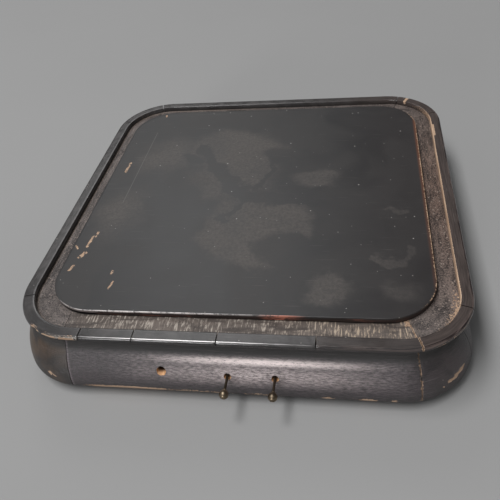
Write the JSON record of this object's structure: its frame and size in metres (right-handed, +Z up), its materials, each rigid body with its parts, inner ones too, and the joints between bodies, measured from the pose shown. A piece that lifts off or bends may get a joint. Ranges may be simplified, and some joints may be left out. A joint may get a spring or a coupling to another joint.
{
  "type": "musical display plinth",
  "caption": "Low black wooden display plinth with rounded corners, moulded sides, a loose board in a lipped recess, a key hole and ball-ended pull rods for a musical movement inside.",
  "frame": {"origin": "middle of the flat underside", "axes": "+X to the right, +Y to the back, +Z up; the pull rods and the key hole face -Y"},
  "size_m": [0.413, 0.431, 0.0723],
  "materials": {
    "ebonised_wood": "satin black polish, worn",
    "black_painted_board": "satin black paint, scratched",
    "raw_wood": "unfinished pine",
    "brass": "satin",
    "aged_brass": "dark patina",
    "steel": "satin"
  },
  "bodies": {
    "case": {"back_rail": "ebonised_wood", "bottom_board": "raw_wood", "change_rod_guide": "brass", "click_stud": "steel", "comb": "steel", "comb_base": "brass", "comb_screw_1": "steel", "comb_screw_2": "steel", "corner_block_back_left": "ebonised_wood", "corner_block_back_right": "ebonised_wood", "corner_block_front_left": "ebonised_wood", "corner_block_front_right": "ebonised_wood", "front_cock": "brass", "front_rail": "ebonised_wood", "governor_cock": "brass", "left_rail": "ebonised_wood", "lever_post": "brass", "lip_back": "ebonised_wood", "lip_corner_back_left": "ebonised_wood", "lip_corner_back_right": "ebonised_wood", "lip_corner_front_left": "ebonised_wood", "lip_corner_front_right": "ebonised_wood", "lip_front_1": "ebonised_wood", "lip_front_2": "ebonised_wood", "lip_front_3": "ebonised_wood", "lip_front_4": "ebonised_wood", "lip_left": "ebonised_wood", "lip_right": "ebonised_wood", "middle_bridge": "brass", "movement_bed": "brass", "rear_bridge": "brass", "right_rail": "ebonised_wood", "screw_cock": "brass", "screw_foot": "brass", "start_rod_guide": "brass", "start_rod_stay": "brass"},
    "top_board": {"top_board": "black_painted_board", "board_cleat_left": "raw_wood", "board_cleat_right": "raw_wood"},
    "start_pull": {"start_rod": "steel", "start_ball": "aged_brass"},
    "change_pull": {"change_rod": "steel", "change_ball": "aged_brass"},
    "change_lever": {"change_lever": "steel"},
    "spring_barrel": {"barrel_drum": "brass", "barrel_lid": "brass", "mainspring": "steel", "great_wheel": "brass"},
    "winding": {"winding_arbor": "steel", "ratchet_wheel": "steel"},
    "click": {"click": "steel"},
    "cylinder": {"pinned_cylinder": "brass", "cylinder_lid": "brass", "cylinder_arbor": "steel", "cylinder_wheel": "brass"},
    "governor": {"governor_arbor": "steel", "governor_wheel": "brass"},
    "endless_screw": {"endless_screw": "steel", "fly": "brass"}
  },
  "joints": [
    {"name": "board_lift", "type": "slide", "parent": "case", "child": "top_board", "axis": [0, 0, 1], "range_m": [0, 0.12]},
    {"name": "start_pull_slide", "type": "slide", "parent": "case", "child": "start_pull", "axis": [0, -1, 0], "range_m": [0, 0.01]},
    {"name": "change_pull_slide", "type": "slide", "parent": "case", "child": "change_pull", "axis": [0, -1, 0], "range_m": [0, 0.008]},
    {"name": "change_lever_turn", "type": "hinge", "parent": "case", "child": "change_lever", "pos_m": [-0.0155, -0.108, 0.036], "axis": [0, 0, 1], "range_deg": [-8.2, 0]},
    {"name": "cylinder_spin", "type": "hinge", "parent": "case", "child": "cylinder", "pos_m": [-0.0323, 0, 0.033], "axis": [0, 1, 0], "continuous": true},
    {"name": "barrel_spin", "type": "hinge", "parent": "case", "child": "spring_barrel", "pos_m": [-0.0575, 0, 0.033], "axis": [0, 1, 0], "continuous": true},
    {"name": "governor_spin", "type": "hinge", "parent": "case", "child": "governor", "pos_m": [-0.01272, 0, 0.04213], "axis": [0, 1, 0], "continuous": true},
    {"name": "endless_screw_spin", "type": "hinge", "parent": "case", "child": "endless_screw", "pos_m": [-0.00152, 0.0213, 0.04213], "axis": [0, 0, 1], "continuous": true},
    {"name": "winding_turn", "type": "hinge", "parent": "case", "child": "winding", "pos_m": [-0.0575, 0, 0.033], "axis": [0, 1, 0], "continuous": true},
    {"name": "click_lift", "type": "hinge", "parent": "case", "child": "click", "pos_m": [-0.0455, -0.1293, 0.046], "axis": [0, 1, 0], "range_deg": [0, 15]}
  ],
  "couplings": [
    {"joint": "change_lever_turn", "follows": "change_pull_slide", "rad_per_m": -17.699},
    {"joint": "barrel_spin", "follows": "cylinder_spin", "ratio": -0.4},
    {"joint": "governor_spin", "follows": "cylinder_spin", "ratio": -3},
    {"joint": "endless_screw_spin", "follows": "cylinder_spin", "ratio": -72}
  ]
}
